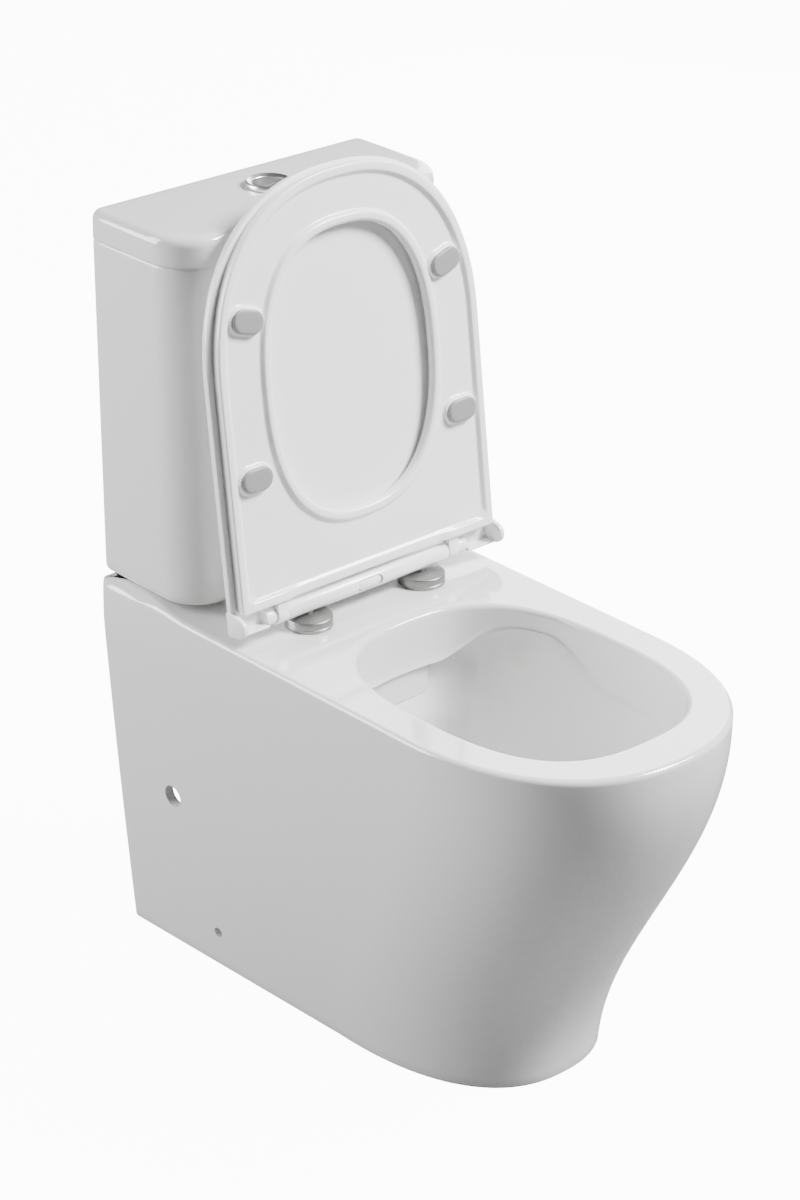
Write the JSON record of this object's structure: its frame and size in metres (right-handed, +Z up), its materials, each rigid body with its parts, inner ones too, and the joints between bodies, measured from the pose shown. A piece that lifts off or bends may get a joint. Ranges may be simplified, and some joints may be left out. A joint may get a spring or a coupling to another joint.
{
  "type": "close coupled toilet",
  "caption": "White back-to-wall close coupled toilet with a skirted rimless pan, dual flush tank and a slim quick-release seat and lid, both raised.",
  "frame": {"origin": "on the floor, under the middle of the pan's depth, on its centre line", "axes": "+Z up, +Y towards the wall behind, -Y towards the user, +X to the right of a person facing the tank"},
  "size_m": [0.3592, 0.665, 0.8756],
  "materials": {
    "china": "white vitreous glaze, gloss",
    "seat_plastic": "white thermoset, gloss",
    "chrome": "polished chrome plate",
    "brushed_nickel": "turned and brushed",
    "steel": "plain stainless",
    "bumper_grey": "soft grey, satin",
    "black_rubber": "matt",
    "valve_white": "moulded, satin",
    "valve_blue": "moulded, satin"
  },
  "bodies": {
    "pan_and_tank": {"pan": "china", "tank": "china", "tank_gasket": "black_rubber", "tank_bolt_left": "steel", "tank_bolt_right": "steel", "tank_bolt_seal_left": "black_rubber", "tank_bolt_seal_right": "black_rubber", "tank_bolt_washer_left": "steel", "tank_bolt_washer_right": "steel", "wing_nut_left": "valve_white", "wing_nut_right": "valve_white", "flush_valve_body": "valve_white", "flush_valve_nut": "valve_white", "fill_valve_body": "valve_white", "fill_valve_seal": "black_rubber", "fill_valve_nut": "valve_white", "hinge_base_left": "seat_plastic", "hinge_base_right": "seat_plastic", "hinge_cap_left": "brushed_nickel", "hinge_cap_right": "brushed_nickel", "hinge_post_left": "steel", "hinge_post_right": "steel", "hinge_plug_left": "black_rubber", "hinge_plug_right": "black_rubber", "hinge_nut_left": "steel", "hinge_nut_right": "steel"},
    "tank_lid": {"tank_lid": "china", "button_bezel": "chrome", "bezel_nut": "valve_white", "full_flush_spring": "steel", "half_flush_spring": "steel"},
    "full_flush_button": {"full_flush_button": "chrome", "full_flush_rod": "valve_white"},
    "half_flush_button": {"half_flush_button": "chrome", "half_flush_rod": "valve_white"},
    "full_flush_key": {"full_flush_key": "valve_blue"},
    "half_flush_key": {"half_flush_key": "valve_white"},
    "valve_core": {"valve_core": "valve_blue", "valve_seal": "black_rubber", "overflow_tube": "valve_white"},
    "fill_float": {"fill_float": "valve_blue"},
    "hinge_barrel": {"hinge_barrel": "seat_plastic", "damper_left": "seat_plastic", "damper_right": "seat_plastic"},
    "release_button": {"release_button": "seat_plastic"},
    "seat_lid": {"seat_lid": "seat_plastic", "lid_buffer_front_left": "bumper_grey", "lid_buffer_front_right": "bumper_grey", "lid_buffer_back_left": "bumper_grey", "lid_buffer_back_right": "bumper_grey"},
    "seat_ring": {"seat_ring": "seat_plastic", "ring_bumper_front_left": "bumper_grey", "ring_bumper_front_right": "bumper_grey", "ring_bumper_back_left": "bumper_grey", "ring_bumper_back_right": "bumper_grey"}
  },
  "joints": [
    {"name": "tank_lid_lift", "type": "slide", "parent": "pan_and_tank", "child": "tank_lid", "axis": [0, 0, 1], "range_m": [0, 0.12]},
    {"name": "full_flush_press", "type": "slide", "parent": "tank_lid", "child": "full_flush_button", "axis": [0, 0, -1], "range_m": [0, 0.008], "stiffness_N_per_m": 250, "springref_m": -0.006, "deforming": ["full_flush_spring"]},
    {"name": "half_flush_press", "type": "slide", "parent": "tank_lid", "child": "half_flush_button", "axis": [0, 0, -1], "range_m": [0, 0.008], "stiffness_N_per_m": 250, "springref_m": -0.006, "deforming": ["half_flush_spring"]},
    {"name": "full_key_turn", "type": "hinge", "parent": "pan_and_tank", "child": "full_flush_key", "pos_m": [0, 0.302, 0.7223], "axis": [1, 0, 0], "range_deg": [0, 17.8]},
    {"name": "half_key_turn", "type": "hinge", "parent": "pan_and_tank", "child": "half_flush_key", "pos_m": [0, 0.23, 0.7223], "axis": [-1, 0, 0], "range_deg": [0, 17.8]},
    {"name": "valve_core_lift", "type": "slide", "parent": "pan_and_tank", "child": "valve_core", "axis": [0, 0, 1], "range_m": [0, 0.012]},
    {"name": "fill_float_rise", "type": "slide", "parent": "pan_and_tank", "child": "fill_float", "axis": [0, 0, 1], "range_m": [0, 0.025]},
    {"name": "seat_release_lift", "type": "slide", "parent": "pan_and_tank", "child": "hinge_barrel", "axis": [0, 0, 1], "range_m": [0, 0.04]},
    {"name": "release_press", "type": "slide", "parent": "hinge_barrel", "child": "release_button", "axis": [0, 1, 0], "range_m": [0, 0.003], "stiffness_N_per_m": 400, "springref_m": -0.003},
    {"name": "lid_hinge", "type": "hinge", "parent": "hinge_barrel", "child": "seat_lid", "pos_m": [0, 0.1168, 0.4424], "axis": [-1, 0, 0], "range_deg": [-99.05, 0]},
    {"name": "ring_hinge", "type": "hinge", "parent": "seat_lid", "child": "seat_ring", "pos_m": [0, 0.1168, 0.4424], "axis": [1, 0, 0], "range_deg": [0, 99.05]}
  ],
  "couplings": [
    {"joint": "full_key_turn", "follows": "full_flush_press", "rad_per_m": 38.334},
    {"joint": "half_key_turn", "follows": "half_flush_press", "rad_per_m": 38.334},
    {"joint": "valve_core_lift", "follows": "full_flush_press", "ratio": 1.5}
  ]
}
